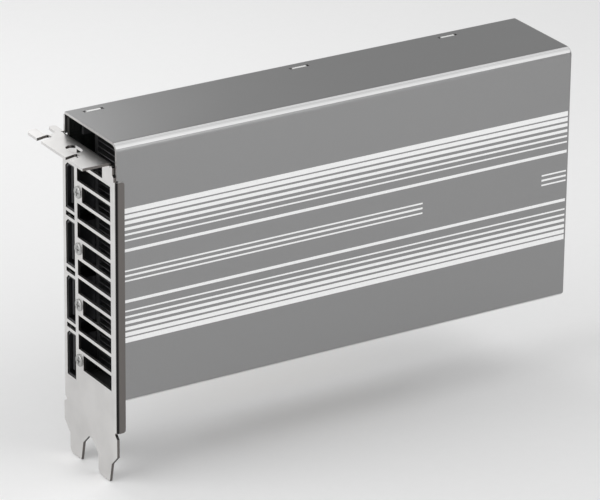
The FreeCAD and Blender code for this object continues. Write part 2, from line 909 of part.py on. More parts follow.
def make_base_standoffs():
    """Hexagonal posts between the frame and the heatsink's base."""
    posts = [hex_rod_y(x, z, chamber_front, frame_front, base_post_across) for x, z in base_post_sites]
    return Part.makeCompound(posts)


# ---------------------------------------------------------------- heatsink


def make_chamber():
    """Copper vapour chamber: a body, its sealed rim and four tapped posts."""
    half_x = group_x / 2 + chamber_beyond_x
    half_z = group_z / 2 + chamber_beyond_z
    rim_corners = rectangle(gpu_x - half_x, gpu_x + half_x, gpu_z - half_z, gpu_z + half_z, chamber_corner_r)
    body_corners = rectangle(
        gpu_x - half_x + chamber_rim,
        gpu_x + half_x - chamber_rim,
        gpu_z - half_z + chamber_rim,
        gpu_z + half_z - chamber_rim,
        chamber_corner_r - chamber_rim,
    )
    rim = sheet(outline(rim_corners, on_y(chamber_front)), Vector(0, chamber_rim_t, 0))
    body = sheet(outline(body_corners, on_y(chamber_front)), Vector(0, chamber_t, 0))
    post_end = board_front - post_board_gap
    posts = [hex_rod_y(x, z, chamber_back, post_end, 2 * post_r) for x, z in retention_sites]
    solid = fused([rim, body] + posts)
    bore = retention_screw_r + thread_clearance
    bores = [rod_y(x, z, chamber_back, post_end, bore) for x, z in retention_sites]
    return solid.cut(Part.makeCompound(bores))


def make_heatsink_base():
    """Base plate that carries the fins, cut back beside the power sockets."""
    corners = [
        (heatsink_left, fin_bottom),
        (heatsink_right, fin_bottom),
        (heatsink_right, socket_zone_low),
        (heatsink_short_right, socket_zone_low),
        (heatsink_short_right, socket_zone_high),
        (heatsink_right, socket_zone_high),
        (heatsink_right, fin_top),
        (heatsink_left, fin_top),
    ]
    return sheet(outline(corners, on_y(base_front)), Vector(0, base_t, 0))


def fin(z, right):
    """One folded fin: a web with a foot on the base."""
    toe = z + fin_pitch - fin_seam
    section = [
        (base_front, z),
        (base_front, toe),
        (base_front - fin_t, toe),
        (base_front - fin_t, z + fin_t),
        (fin_tip, z + fin_t),
        (fin_tip, z),
    ]
    face = Part.Face(outline(section, on_x(heatsink_left)))
    return face.extrude(Vector(right - heatsink_left, 0, 0))


def make_fin_stack():
    """All fins, shorter where they face the power sockets."""
    count = int((fin_top - fin_bottom) / fin_pitch)
    spare = (fin_top - fin_bottom) - count * fin_pitch
    fins = []
    for i in range(count):
        z = fin_bottom + spare / 2 + i * fin_pitch
        beside_sockets = socket_zone_low - fin_pitch < z < socket_zone_high
        fins.append(fin(z, heatsink_short_right if beside_sockets else heatsink_right))
    return Part.makeCompound(fins)


# ---------------------------------------------------------------- duct


def make_duct():
    """The duct: front, top and bottom walls, rear lip, end lips and tab slots."""
    length = duct_end - duct_start
    outer_corners = [
        (duct_back, duct_bottom),
        (duct_front, duct_bottom, bottom_bend_r),
        (duct_front, card_height, front_bend_r),
        (duct_back, card_height, lip_bend_r),
    ]
    inner_corners = [
        (lip_inner, duct_inner_bottom),
        (duct_inner_front, duct_inner_bottom, bottom_bend_r - duct_t),
        (duct_inner_front, duct_inner_top, front_bend_r - duct_t),
        (lip_inner, duct_inner_top, lip_bend_r - duct_t),
    ]
    outer = Part.Face(outline(outer_corners, on_x(duct_start))).extrude(Vector(length, 0, 0))
    end_edges = [e for e in outer.Edges if e.BoundBox.XMin > duct_end - touch]
    end_edges = [e for e in end_edges if e.CenterOfMass.z > duct_bottom - touch]
    end_edges = [e for e in end_edges if e.CenterOfMass.y < duct_back - touch]
    outer = outer.makeFillet(end_bend_r, end_edges)
    inner = Part.Face(outline(inner_corners, on_x(duct_start))).extrude(Vector(length - duct_t, 0, 0))
    mouth = box(
        duct_end - 2 * duct_t,
        duct_end + duct_t,
        duct_front + end_lip,
        lip_inner,
        duct_bottom + end_lip,
        card_height - end_lip,
    )
    floor_end = board_front - floor_board_gap
    rear_opening = box(
        duct_start - duct_t,
        duct_end + duct_t,
        floor_end,
        duct_back + duct_t,
        duct_bottom - duct_t,
        lip_bottom,
    )
    return outer.cut([inner, mouth, rear_opening] + duct_tab_slots() + duct_clearances())


def duct_tab_slots():
    """Slots in the top and bottom walls for the support frame's tabs."""
    middle = (frame_front + frame_back) / 2
    y0 = middle - tab_slot_width / 2
    y1 = middle + tab_slot_width / 2
    half = tab_slot_length / 2
    slots = []
    for x in top_tab_x:
        slots.append(box(x - half, x + half, y0, y1, duct_inner_top - duct_t, card_height + duct_t))
    for x in bottom_tab_x:
        slots.append(box(x - half, x + half, y0, y1, duct_bottom - duct_t, duct_inner_bottom + duct_t))
    return slots


def duct_clearances():
    """Corner cuts for the lowest output and its ear, relief at the lip, set-back of the front wall."""
    output_end = plate_outer + shell_mouth_inset + shell_depth + floor_output_gap
    corner = box(
        duct_start - duct_t,
        output_end,
        shell_top - floor_output_gap,
        duct_back,
        duct_bottom - duct_t,
        output_z[-1] + shell_length / 2,
    )
    ear_corner = box(
        duct_start - duct_t,
        duct_start + ear_t + floor_output_gap,
        ear_end - floor_output_gap,
        duct_back,
        duct_bottom - duct_t,
        duct_inner_bottom + duct_t,
    )
    relief = box(
        duct_start - duct_t,
        duct_start + lip_relief_length,
        duct_back - lip_relief_depth,
        duct_back + duct_t,
        card_height - lip_bend_r,
        card_height + duct_t,
    )
    set_back = box(
        duct_start - duct_t,
        duct_start + bend_r + side_bend_gap,
        duct_front - duct_t,
        duct_inner_front,
        duct_bottom - duct_t,
        side_flange_top + bend_relief,
    )
    return [corner, ear_corner, relief, set_back]


# ---------------------------------------------------------------- back side


def make_backplate_strips():
    """Two foam strips between the board and the back cover, along its upper and lower edges."""
    left = backplate_left + strip_end_gap
    right = backplate_right - strip_end_gap
    low = backplate_bottom + strip_edge_gap
    high = backplate_top - strip_edge_gap - strip_width
    strips = [box(left, right, board_back, backplate_inner, z, z + strip_width) for z in (low, high)]
    return Part.makeCompound(strips)


def make_lip_strip():
    """Foam strip between the board and the duct's rear lip."""
    left = backplate_left + strip_end_gap
    right = backplate_right - strip_end_gap
    low = lip_bottom + lip_strip_gap
    return box(left, right, board_back, lip_inner, low, low + lip_strip_width)


def make_backplate():
    """Flat back cover with a window for the retention spring."""
    cut = backplate_corner
    corners = [
        (backplate_left, backplate_bottom),
        (backplate_right - cut, backplate_bottom),
        (backplate_right, backplate_bottom + cut),
        (backplate_right, backplate_top - cut),
        (backplate_right - cut, backplate_top),
        (backplate_left, backplate_top),
    ]
    half_x = post_offset_x + window_margin
    half_z = post_offset_z + window_margin
    window = chamfered(gpu_x - half_x, gpu_x + half_x, gpu_z - half_z, gpu_z + half_z, window_corner)
    place = on_y(backplate_inner)
    return sheet(outline(corners, place), Vector(0, backplate_t, 0), [outline(window, place)])


def make_retention_spring():
    """Cross-shaped leaf spring that pulls the vapour chamber onto the processor."""
    y0 = board_back + retention_pad_t
    thickness = Vector(0, spring_t, 0)
    reach = math.hypot(post_offset_x, post_offset_z)
    angle = math.degrees(math.atan2(post_offset_z, post_offset_x))
    half = spring_arm / 2
    arm_corners = chamfered(-reach - half, reach + half, -half, half, spring_corner)
    shapes = []
    for turn in (angle, -angle):
        arm = sheet(outline(arm_corners, on_y(y0)), thickness)
        arm.rotate(Vector(0, y0, 0), Vector(0, 1, 0), turn)
        arm.translate(Vector(gpu_x, 0, gpu_z))
        shapes.append(arm)
    centre = block_at(gpu_x, gpu_z, spring_centre, spring_centre, y0, y0 + spring_t)
    spring = fused([centre] + shapes)
    hole_r = retention_screw_r + spring_hole_clearance
    cutters = [block_at(gpu_x, gpu_z, spring_opening, spring_opening, y0, y0 + spring_t)]
    cutters += [rod_y(x, z, y0, y0 + spring_t, hole_r) for x, z in retention_sites]
    return spring.cut(Part.makeCompound(cutters))


def make_retention_pad():
    """Insulating pad under the middle of the retention spring."""
    return block_at(
        gpu_x, gpu_z, retention_pad_side, retention_pad_side, board_back, board_back + retention_pad_t
    )


def make_retention_screws():
    """Four hexagon-headed screws from the retention spring into the vapour chamber's posts."""
    seat = board_back + retention_pad_t + spring_t
    screws = []
    for x, z in retention_sites:
        head = hex_rod_y(x, z, seat, seat + retention_head_h, retention_head_across)
        screws.append(head.fuse(rod_y(x, z, chamber_back, seat, retention_screw_r)))
    return Part.makeCompound(screws)


# ---------------------------------------------------------------- power sockets


def socket_rows():
    """Y of the two rows of cavities, from the board outwards."""
    inner = board_front - socket_board_gap - socket_wall - socket_pitch / 2
    return [inner, inner - socket_pitch]


def socket_columns_z(z):
    """Z of the columns of cavities in the socket centred on z."""
    return [z + (i - (socket_columns - 1) / 2) * socket_pitch for i in range(socket_columns)]


def make_power_socket(z):
    """Moulded housing of one power socket, open towards the far end."""
    rows = socket_rows()
    y_in = board_front - socket_board_gap
    y_out = rows[-1] - socket_pitch / 2 - socket_wall
    half = socket_half
    body = box(socket_rear, socket_mouth, y_out, y_in, z - half, z + half)
    middle = (socket_rear + socket_mouth) / 2
    foot = 2 * socket_wall
    feet = [
        block_at(middle, z + side * (half - foot / 2), socket_depth, foot, y_in, board_front)
        for side in (-1, 1)
    ]
    latch_section = [
        (socket_mouth, y_out),
        (socket_mouth - latch_length, y_out - latch_height),
        (socket_mouth - latch_length, y_out),
    ]
    latch = Part.Face(outline(latch_section, on_z(z - latch_width / 2))).extrude(Vector(0, 0, latch_width))
    housing = fused([body, latch] + feet)
    floor = socket_mouth - socket_cavity_depth
    hole = pin_side / 2 + pin_fit
    cutters = []
    for row, y in enumerate(rows):
        for column, cz in enumerate(socket_columns_z(z)):
            keyed = (row + column) % 2 == 0
            cavity = Part.Face(outline(cavity_corners(y, cz, keyed), on_x(floor)))
            cutters.append(cavity.extrude(Vector(socket_cavity_depth, 0, 0)))
            cutters.append(box(socket_rear, floor, y - hole, y + hole, cz - hole, cz + hole))
    return housing.cut(Part.makeCompound(cutters))


def cavity_corners(y, z, keyed):
    """Section of one socket cavity: square, or with two corners cut where it is keyed."""
    c = socket_cavity / 2
    cut = socket_chamfer
    if keyed:
        outer = [(y - c + cut, z + c), (y - c, z + c - cut), (y - c, z - c + cut), (y - c + cut, z - c)]
    else:
        outer = [(y - c, z + c), (y - c, z - c)]
    return [(y + c, z - c), (y + c, z + c)] + outer


def make_power_pins(z):
    """Square pins of one power socket, each bent down onto the board."""
    floor = socket_mouth - socket_cavity_depth
    p = pin_side / 2
    pins = []
    for row, y in enumerate(socket_rows()):
        tail = socket_rear - (row + 1) * (pin_tail + pin_side)
        for cz in socket_columns_z(z):
            run = box(tail, floor + pin_length, y - p, y + p, cz - p, cz + p)
            drop = box(tail, tail + pin_side, y - p, board_front, cz - p, cz + p)
            pins.append(fused([run, drop]))
    return Part.makeCompound(pins)


# ---------------------------------------------------------------- assembly

os.makedirs("parts", exist_ok=True)

export("bracket", make_bracket())
export("bracket_screws", make_bracket_screws())
for number, height in enumerate(output_z, start=1):
    export("displayport_shell_%d" % number, make_shell(height))
    export("displayport_insert_%d" % number, make_insert(height))

export("circuit_board", make_board())
export("edge_contacts", make_contacts())
export("gpu_substrate", make_substrate())
export("gpu_die", make_die())
export("gpu_thermal_sheet", make_thermal_sheet())
export("memory_chips", make_memory_chips())
export("memory_pads", make_memory_pads())
export("power_stages", make_power_stages())
export("power_stage_pads", make_stage_pads())
export("power_inductors", make_inductors())
export("inductor_pads", make_inductor_pads())
export("polymer_capacitors", make_capacitors())
export("controller_chips", make_controllers())

export("support_frame", make_frame())
export("base_standoffs", make_base_standoffs())
export("vapour_chamber", make_chamber())
export("heatsink_base", make_heatsink_base())
export("fin_stack", make_fin_stack())

export("shroud", make_duct())
export("lip_strip", make_lip_strip())
export("backplate", make_backplate())
export("backplate_strips", make_backplate_strips())
export("retention_pad", make_retention_pad())
export("retention_spring", make_retention_spring())
export("retention_screws", make_retention_screws())

for number, height in enumerate(socket_z, start=1):
    export("power_socket_%d" % number, make_power_socket(height))
    export("power_pins_%d" % number, make_power_pins(height))
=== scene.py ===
import json
import logging
import math
from dataclasses import dataclass, field
from enum import Enum
from typing import Any, Optional, Sequence, Union

import bpy
import numpy as np
from mathutils import Matrix, Vector


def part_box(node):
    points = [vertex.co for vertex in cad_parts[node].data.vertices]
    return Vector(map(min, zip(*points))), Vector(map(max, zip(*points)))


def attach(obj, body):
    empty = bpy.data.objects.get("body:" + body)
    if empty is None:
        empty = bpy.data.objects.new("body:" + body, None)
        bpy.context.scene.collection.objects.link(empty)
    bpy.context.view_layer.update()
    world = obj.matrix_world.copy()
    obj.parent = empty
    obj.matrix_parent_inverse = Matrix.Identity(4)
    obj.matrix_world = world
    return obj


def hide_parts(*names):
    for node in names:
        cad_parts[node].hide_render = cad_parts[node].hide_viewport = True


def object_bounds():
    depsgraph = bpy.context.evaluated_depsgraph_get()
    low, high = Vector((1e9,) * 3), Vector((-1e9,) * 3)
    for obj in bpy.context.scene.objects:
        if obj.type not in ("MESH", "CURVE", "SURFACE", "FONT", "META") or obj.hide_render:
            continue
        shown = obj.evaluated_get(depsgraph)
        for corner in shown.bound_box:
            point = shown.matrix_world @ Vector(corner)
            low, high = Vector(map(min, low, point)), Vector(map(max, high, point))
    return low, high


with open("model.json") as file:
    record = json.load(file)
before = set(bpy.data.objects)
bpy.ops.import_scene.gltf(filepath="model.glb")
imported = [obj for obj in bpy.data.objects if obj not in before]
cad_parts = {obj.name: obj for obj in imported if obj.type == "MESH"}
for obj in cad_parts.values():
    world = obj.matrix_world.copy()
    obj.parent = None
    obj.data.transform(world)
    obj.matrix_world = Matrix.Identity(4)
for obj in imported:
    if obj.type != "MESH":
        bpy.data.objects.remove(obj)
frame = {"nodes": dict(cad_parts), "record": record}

# Looks of a passive accelerator card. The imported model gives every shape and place.
# This file adds finishes, painted lines, small board parts, the floor, light and camera.
# Lengths are in metres, in the card's own frame.

CAD_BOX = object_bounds()
MM = 0.001
LOG = logging.getLogger("card")

Colour = tuple[float, float, float]
Scale = tuple[float, float, float]
Number = Union[int, float]
Arrays = tuple[np.ndarray, ...]


# ---------------------------------------------------------------- shader maths


class Signal:
    """A value socket that takes part in Python arithmetic.

    Each operator adds one Math node to the graph that the socket belongs to.
    """

    def __init__(self, graph: "NodeGraph", socket: bpy.types.NodeSocket) -> None:
        """Keeps the graph and the socket."""
        self.graph = graph
        self.socket = socket

    def _math(self, operation: str, *terms: Union["Signal", Number]) -> "Signal":
        """Adds a Math node.

        Args:
            operation: The Math node's operation.
            *terms: The values or signals for its inputs, in order.

        Returns:
            The node's result.
        """
        inputs = dict(enumerate(terms))
        node = self.graph.node("ShaderNodeMath", {"operation": operation}, inputs)
        return Signal(self.graph, node.outputs[0])

    def __add__(self, other: Union["Signal", Number]) -> "Signal":
        """This signal plus another."""
        return self._math("ADD", self, other)

    def __radd__(self, other: Number) -> "Signal":
        """A number plus this signal."""
        return self._math("ADD", other, self)

    def __sub__(self, other: Union["Signal", Number]) -> "Signal":
        """This signal less another."""
        return self._math("SUBTRACT", self, other)

    def __rsub__(self, other: Number) -> "Signal":
        """A number less this signal."""
        return self._math("SUBTRACT", other, self)

    def __mul__(self, other: Union["Signal", Number]) -> "Signal":
        """This signal times another."""
        return self._math("MULTIPLY", self, other)

    def __rmul__(self, other: Number) -> "Signal":
        """A number times this signal."""
        return self._math("MULTIPLY", other, self)

    def __truediv__(self, other: Union["Signal", Number]) -> "Signal":
        """This signal over another."""
        return self._math("DIVIDE", self, other)

    def __rtruediv__(self, other: Number) -> "Signal":
        """A number over this signal."""
        return self._math("DIVIDE", other, self)

    def __abs__(self) -> "Signal":
        """This signal without its sign."""
        return self._math("ABSOLUTE", self)

    def above(self, edge: Number) -> "Signal":
        """1 where this signal is over the edge, otherwise 0."""
        return self._math("GREATER_THAN", self, edge)

    def wrapped(self, period: Number) -> "Signal":
        """This signal's remainder in a period that repeats in both directions."""
        return self._math("WRAP", self, period, 0.0)

    def ramp(self, low: Number, high: Number, start: Number = 0.0, end: Number = 1.0) -> "Signal":
        """Maps a range of this signal smoothly onto another.

        Args:
            low: The signal that gives start.
            high: The signal that gives end.
            start: The result at and under low.
            end: The result at and over high.

        Returns:
            The mapped signal.
        """
        settings = {"interpolation_type": "SMOOTHSTEP"}
        inputs = {"Value": self, "From Min": low, "From Max": high, "To Min": start, "To Max": end}
        node = self.graph.node("ShaderNodeMapRange", settings, inputs)
        return Signal(self.graph, node.outputs["Result"])


Source = Union[Signal, bpy.types.NodeSocket, Number, Sequence[float]]


class NodeGraph:
    """A node tree that is filled through one method."""

    def __init__(self, tree: bpy.types.NodeTree) -> None:
        """Empties the tree and keeps it."""
        self.tree = tree
        self.tree.nodes.clear()

    def node(
        self,
        kind: str,
        settings: Optional[dict[str, Any]] = None,
        inputs: Optional[dict[Union[int, str], Source]] = None,
    ) -> bpy.types.Node:
        """Adds one node.

        Args:
            kind: The node's type.
            settings: Its properties.
            inputs: Values, signals or sockets for its inputs, by name or number.

        Returns:
            The new node.
        """
        node = self.tree.nodes.new(kind)
        for key, value in (settings or {}).items():
            setattr(node, key, value)
        for key, value in (inputs or {}).items():
            self.feed(node.inputs[key], value)
        return node

    def feed(self, socket: bpy.types.NodeSocket, value: Source) -> None:
        """Links a signal or socket to an input, or sets its value."""
        if isinstance(value, Signal):
            self.tree.links.new(value.socket, socket)
        elif isinstance(value, bpy.types.NodeSocket):
            self.tree.links.new(value, socket)
        elif socket.type == "RGBA" and len(value) == 3:
            socket.default_value = (*value, 1.0)
        else:
            socket.default_value = value


class ShaderGraph(NodeGraph):
    """One material's node tree, with a Principled shader ready to be fed."""

    def __init__(self, name: str) -> None:
        """Makes the material with its output and its shader."""
        self.material = bpy.data.materials.new(name)
        self.material.use_nodes = True
        super().__init__(self.material.node_tree)
        self.shader = self.node("ShaderNodeBsdfPrincipled")
        self.node("ShaderNodeOutputMaterial", {}, {"Surface": self.shader.outputs["BSDF"]})
        self._place: Optional[bpy.types.NodeSocket] = None

    def set(self, **values: Source) -> None:
        """Feeds the shader's inputs; an underscore in a name stands for a space."""
        for key, value in values.items():
            self.feed(self.shader.inputs[key.replace("_", " ").title().replace("Ior", "IOR")], value)

    def place(self) -> bpy.types.NodeSocket:
        """The point on the object, in its own coordinates."""
        if self._place is None:
            self._place = self.node("ShaderNodeTexCoord").outputs["Object"]
        return self._place

    def axes(self) -> tuple[Signal, Signal, Signal]:
        """The three coordinates of the point on the object."""
        split = self.node("ShaderNodeSeparateXYZ", {}, {0: self.place()})
        return tuple(Signal(self, socket) for socket in split.outputs)

    def facing(self, axis: int) -> Signal:
        """How far the flat surface faces along an axis, from -1 to 1."""
        normal = self.node("ShaderNodeNewGeometry").outputs["True Normal"]
        split = self.node("ShaderNodeSeparateXYZ", {}, {0: normal})
        return Signal(self, split.outputs[axis])

    def scaled_place(self, scale: Sequence[float]) -> bpy.types.NodeSocket:
        """The point on the object, stretched along each axis."""
        node = self.node("ShaderNodeVectorMath", {"operation": "MULTIPLY"}, {0: self.place(), 1: scale})
        return node.outputs["Vector"]

    def noise(self, scale: Sequence[float], detail: float) -> Signal:
        """Cloudy noise from 0 to 1.

        Args:
            scale: Cells per metre along each axis.
            detail: How many finer layers it has.

        Returns:
            The noise's value.
        """
        inputs = {"Vector": self.scaled_place(scale), "Scale": 1.0, "Detail": detail}
        return Signal(self, self.node("ShaderNodeTexNoise", {}, inputs).outputs["Fac"])

    def cells(self, scale: Sequence[float]) -> Signal:
        """Distance to the nearest point of a random set, in cells.

        Args:
            scale: Cells per metre along each axis.

        Returns:
            The distance.
        """
        inputs = {"Vector": self.scaled_place(scale), "Scale": 1.0}
        return Signal(self, self.node("ShaderNodeTexVoronoi", {}, inputs).outputs["Distance"])

    def mix(self, factor: Source, first: Source, second: Source) -> bpy.types.NodeSocket:
        """A colour between two others.

        Args:
            factor: 0 for the first colour and 1 for the second.
            first: A colour or socket.
            second: A colour or socket.

        Returns:
            The mixed colour.
        """
        settings = {"data_type": "RGBA"}
        node = self.node("ShaderNodeMix", settings, {0: factor, 6: first, 7: second})
        return node.outputs[2]

    def varied(self, factor: Signal, colour: Colour, share: float) -> bpy.types.NodeSocket:
        """A colour that goes from darker to lighter by a share, as a factor goes from 0 to 1."""
        return self.mix(factor, shade(colour, 1.0 - share), shade(colour, 1.0 + share))

    def bump(self, height: Signal, distance: float) -> bpy.types.NodeSocket:
        """A normal bent by a height.

        Args:
            height: The height from 0 to 1.
            distance: The height of 1, in metres.

        Returns:
            The bent normal.
        """
        inputs = {"Height": height, "Distance": distance, "Strength": 1.0}
        return self.node("ShaderNodeBump", {}, inputs).outputs["Normal"]


def even(scale: float) -> Scale:
    """The same scale along all three axes."""
    return (scale, scale, scale)


def shade(colour: Colour, factor: float) -> Colour:
    """A colour made darker or lighter by a factor."""
    return tuple(min(1.0, channel * factor) for channel in colour)


# ---------------------------------------------------------------- finishes


class Lay(Enum):
    """The way that a metal's grain runs."""

    ALONG_X = (60.0, 2600.0, 2600.0)
    ALONG_Z = (2600.0, 2600.0, 60.0)
    EVEN = (1800.0, 1800.0, 1800.0)


@dataclass(frozen=True)
class Metal:
    """Bare or plated metal with a fine grain and faint uneven tone."""

    name: str
    colour: Colour
    roughness: float = 0.35
    lay: Lay = Lay.EVEN
    grain: float = 0.000004
    mottle: float = 0.12
    metallic: float = 1.0
    grain_detail: float = 2.0
    cloud_scale: float = 70.0
    cloud_detail: float = 4.0
    cloud_range: tuple[float, float] = (0.3, 0.7)
    gloss_change: float = 0.3

    def grain_and_cloud(self, graph: ShaderGraph) -> tuple[Signal, Signal]:
        """The fine grain and the slow noise of this metal."""
        grain = graph.noise(self.lay.value, self.grain_detail)
        return grain, graph.noise(even(self.cloud_scale), self.cloud_detail)

    def grain_gloss(self, grain: Signal) -> Signal:
        """Roughness that the grain alone raises and lowers about its middle."""
        return self.roughness * (grain * self.gloss_change + (1.0 - self.gloss_change / 2))

    def material(self) -> bpy.types.Material:
        """Builds the material: grain changes normal and roughness, and cloudy noise the tone."""
        graph = ShaderGraph(self.name)
        grain, cloud = self.grain_and_cloud(graph)
        gloss = grain * self.gloss_change + (1.0 - cloud) * self.gloss_change + (1.0 - self.gloss_change)
        graph.set(
            base_color=graph.varied(cloud.ramp(*self.cloud_range), self.colour, self.mottle),
            metallic=self.metallic,
            roughness=self.roughness * gloss,
            normal=graph.bump(grain, self.grain),
        )
        return graph.material


@dataclass(frozen=True)
class BracketPlating(Metal):
    """Satin plating of the slot bracket, with painted shade: dark brown on the faces across the card and
    nearly black on the bends into them.
    """

    side_shade_colour: Colour = (0.17, 0.158, 0.151)
    bend_shade_colour: Colour = (0.02, 0.019, 0.019)
    bend_shade_range: tuple[float, float] = (0.35, 0.62)
    side_shade_range: tuple[float, float] = (0.9, 0.995)

    def material(self) -> bpy.types.Material:
        """Builds the material: the surface's direction chooses between the plating's tone and the
        painted shade.
        """
        graph = ShaderGraph(self.name)
        grain, cloud = self.grain_and_cloud(graph)
        plain = graph.varied(cloud.ramp(*self.cloud_range), self.colour, self.mottle)
        # Faces across the card take a dark brown painted shade, and the bends into them a nearly black
        # painted shade.
        across = graph.facing(1) * -1.0
        bend = graph.mix(across.ramp(*self.bend_shade_range), plain, self.bend_shade_colour)
        graph.set(
            base_color=graph.mix(across.ramp(*self.side_shade_range), bend, self.side_shade_colour),
            metallic=self.metallic,
            roughness=self.grain_gloss(grain),
            normal=graph.bump(grain, self.grain),
        )
        return graph.material


@dataclass(frozen=True)
class FrameCoat(Metal):
    """Dark coated steel of the support frame, with pale ends on the tabs that reach into the duct."""

    # The tab ends take a pale colour.
    bare: Colour = (0.86, 0.86, 0.85)
    bare_depth: float = 0.0011

    def material(self) -> bpy.types.Material:
        """Builds the material: the tabs are pale from a little inside the duct's top and bottom faces
        outwards.
        """
        graph = ShaderGraph(self.name)
        low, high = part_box("shroud")
        grain = graph.noise(self.lay.value, self.grain_detail)
        _, _, z = graph.axes()
        tab = abs(z - (low.z + high.z) / 2).above((high.z - low.z) / 2 - self.bare_depth)
        graph.set(
            base_color=graph.mix(tab, graph.varied(grain, self.colour, self.mottle), self.bare),
            metallic=self.metallic,
            roughness=self.grain_gloss(grain),
            normal=graph.bump(grain, self.grain),
        )
        return graph.material


@dataclass(frozen=True)
class SatinCoat:
    """Metallic satin coat over folded sheet, with a fine orange-peel and sparkle.

    The outside of each lengthways bend carries a painted highlight, bright with a greyer stripe
    along its middle, and the end edges carry a lighter painted highlight. The ranges say how far
    a surface faces forward and up where one tone gives way to the next.
    """

    name: str
    colour: Colour
    edge_highlight_colour: Colour = (0.62, 0.61, 0.60)
    edge_highlight_facing: float = 0.95
    highlight_lower: Colour = (0.80, 0.80, 0.80)
    highlight_upper: Colour = (1.0, 1.0, 1.0)
    highlight_middle: Colour = (0.66, 0.66, 0.66)
    bend_forward: tuple[float, float] = (0.2, 0.4)
    bend_up: tuple[float, float] = (0.35, 0.5)
    middle_forward: tuple[float, float] = (0.35, 0.6)
    middle_up: tuple[float, float] = (0.5, 0.75)
    upper_up: tuple[float, float] = (0.6, 0.8)
    bend_dullness: float = 0.7
    metallic: float = 0.9
    roughness: float = 0.34
    peel: float = 0.000012
    peel_scale: float = 500.0
    fleck: float = 0.06
    fleck_scale: float = 9000.0
    fleck_range: tuple[float, float] = (0.1, 0.8)
    cloud_scale: Scale = (14.0, 30.0, 30.0)
    cloud_gloss: tuple[float, float, float, float] = (0.3, 0.7, 0.92, 1.08)

    def material(self) -> bpy.types.Material:
        """Builds the material: tiny cells vary the tone as flakes do, and soft noise ripples it."""
        graph = ShaderGraph(self.name)
        flake = graph.cells(even(self.fleck_scale)).ramp(*self.fleck_range)
        ripple = graph.noise(even(self.peel_scale), 2.0)
        cloud = graph.noise(self.cloud_scale, 3.0)
        # Faces that look along the card, the sheet's end edges, take a lighter colour: a painted
        # highlight.
        edge_highlight = abs(graph.facing(0)).above(self.edge_highlight_facing)
        forward = abs(graph.facing(1))
        up = abs(graph.facing(2))
        # The bends take a painted highlight by their direction: light grey on the lower part, white on
        # the upper part and a greyer stripe in the middle. They are rougher too.
        bend = forward.ramp(*self.bend_forward) * up.ramp(*self.bend_up)
        middle = forward.ramp(*self.middle_forward) * up.ramp(*self.middle_up)
        bright = graph.mix(up.ramp(*self.upper_up), self.highlight_lower, self.highlight_upper)
        bright = graph.mix(middle, bright, self.highlight_middle)
        coat = graph.mix(bend, graph.varied(flake, self.colour, self.fleck), bright)
        dullness = bend * self.bend_dullness + 1.0
        graph.set(
            base_color=graph.mix(edge_highlight, coat, self.edge_highlight_colour),
            metallic=self.metallic,
            roughness=self.roughness * cloud.ramp(*self.cloud_gloss) * dullness,
            normal=graph.bump(ripple, self.peel),
        )
        return graph.material


@dataclass(frozen=True)
class Plastic:
    """Moulded plastic, foam or epoxy with a fine texture."""

    name: str
    colour: Colour
    roughness: float = 0.5
    texture: float = 0.00001
    texture_scale: float = 3000.0
    variation: float = 0.15
    cloud_scale: float = 90.0
    cloud_gloss: tuple[float, float, float, float] = (0.2, 0.8, 0.9, 1.12)

    def material(self) -> bpy.types.Material:
        """Builds the material: fine noise bends the normal, and cloudy noise changes tone and gloss."""
        graph = ShaderGraph(self.name)
        fine = graph.noise(even(self.texture_scale), 2.0)
        cloud = graph.noise(even(self.cloud_scale), 3.0)
        graph.set(
            base_color=graph.varied(cloud, self.colour, self.variation),
            roughness=self.roughness * cloud.ramp(*self.cloud_gloss),
            normal=graph.bump(fine, self.texture),
        )
        return graph.material


@dataclass(frozen=True)
class Paint:
    """Screen-printed paint with slightly uneven cover."""

    name: str
    colour: Colour
    roughness: float = 0.42
    cover_scale: float = 4200.0
    thin_shade: float = 0.94
    thin_range: tuple[float, float] = (0.35, 0.65)
    gloss_change: float = 0.2
    relief: float = 0.000004

    def material(self) -> bpy.types.Material:
        """Builds the material: fine noise thins the cover, and bends the normal a little."""
        graph = ShaderGraph(self.name)
        cover = graph.noise(even(self.cover_scale), 2.0)
        thin = shade(self.colour, self.thin_shade)
        graph.set(
            base_color=graph.mix(cover.ramp(*self.thin_range), thin, self.colour),
            roughness=self.roughness * (cover * self.gloss_change + (1.0 - self.gloss_change / 2)),
            normal=graph.bump(cover, self.relief),
        )
        return graph.material


